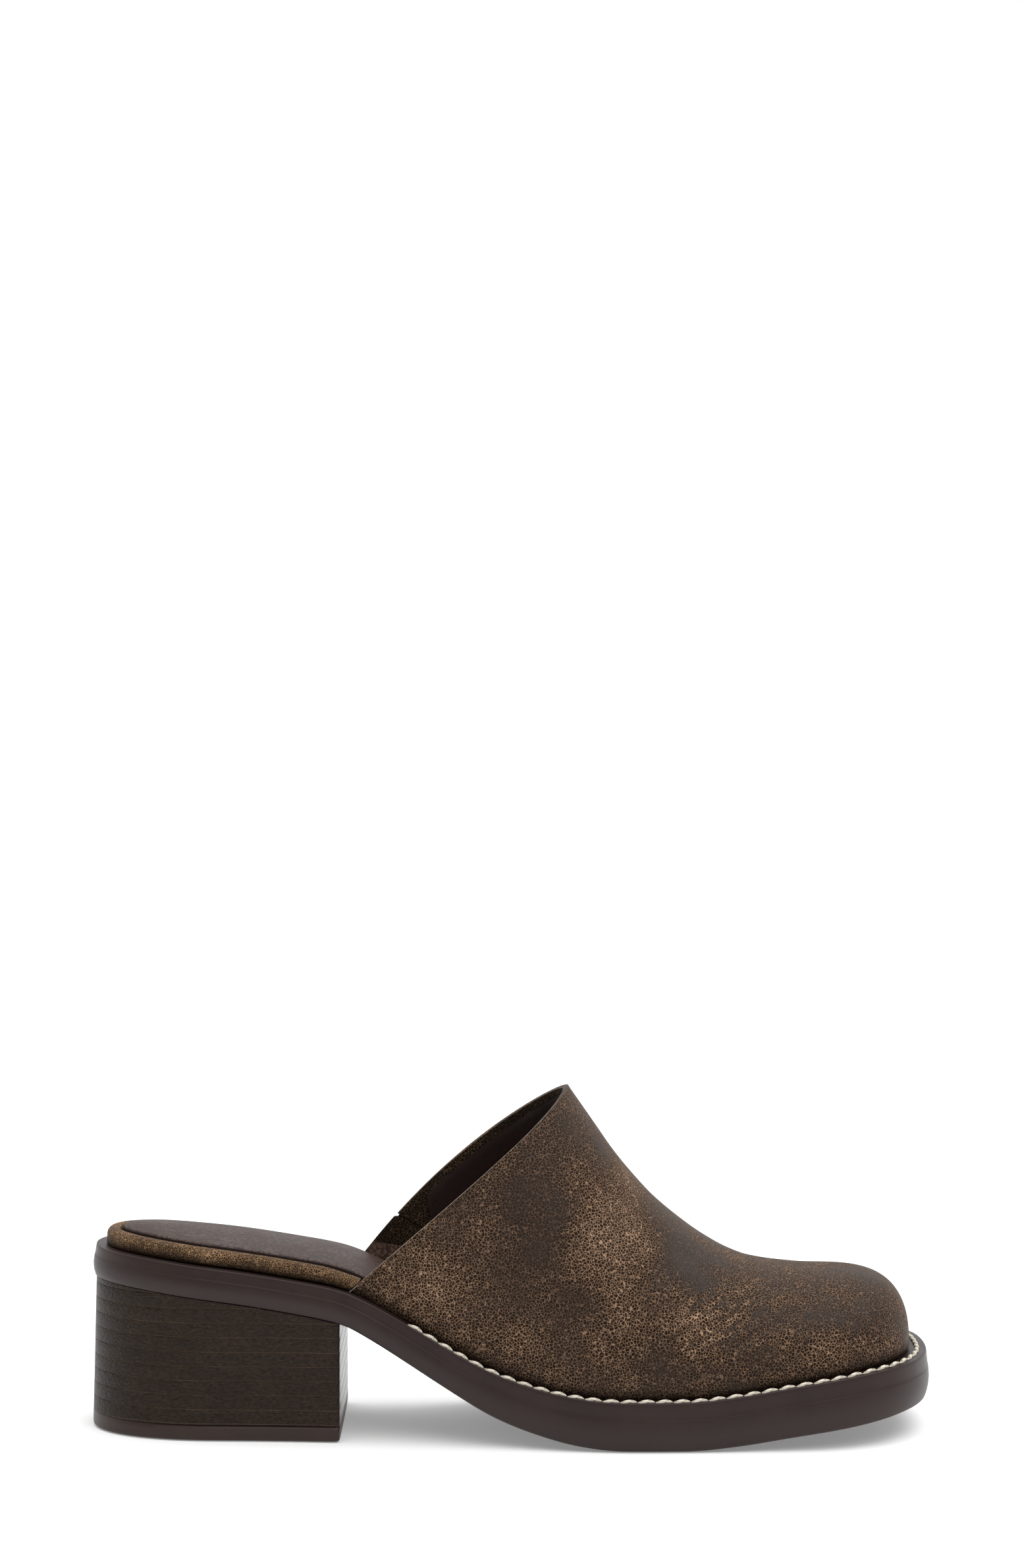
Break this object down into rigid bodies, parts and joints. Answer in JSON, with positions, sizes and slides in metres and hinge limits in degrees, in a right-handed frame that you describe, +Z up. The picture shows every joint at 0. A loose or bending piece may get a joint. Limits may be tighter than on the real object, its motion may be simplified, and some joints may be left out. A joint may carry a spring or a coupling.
{
  "type": "block-heel clog",
  "caption": "Backless leather clog with a square toe, a moulded rubber outsole, a wrapped footbed, a stacked block heel and a leather gusset in its medial side.",
  "frame": {"origin": "on the floor, in the middle of the shoe's plan", "axes": "+X towards the toe, +Y towards the medial side, +Z up"},
  "size_m": [0.258, 0.094, 0.1037],
  "materials": {
    "outsole_rubber": "matt moulded rubber, dark mauve-brown",
    "stacked_heel": "stained stack of leather lifts, edge-polished satin",
    "crackle_leather": "distressed crackle leather, dark brown with a fine tan network",
    "sock_leather": "smooth satin leather, mauve-brown, finely creased",
    "lining": "matt pigskin lining, very dark brown",
    "welt_thread": "waxed ivory thread"
  },
  "bodies": {
    "root": {"outsole": "outsole_rubber", "heel_block": "stacked_heel", "heel_top_piece": "outsole_rubber", "footbed": "crackle_leather", "insole_sock": "sock_leather", "upper": "crackle_leather", "side_gusset": "crackle_leather"}
  },
  "joints": []
}
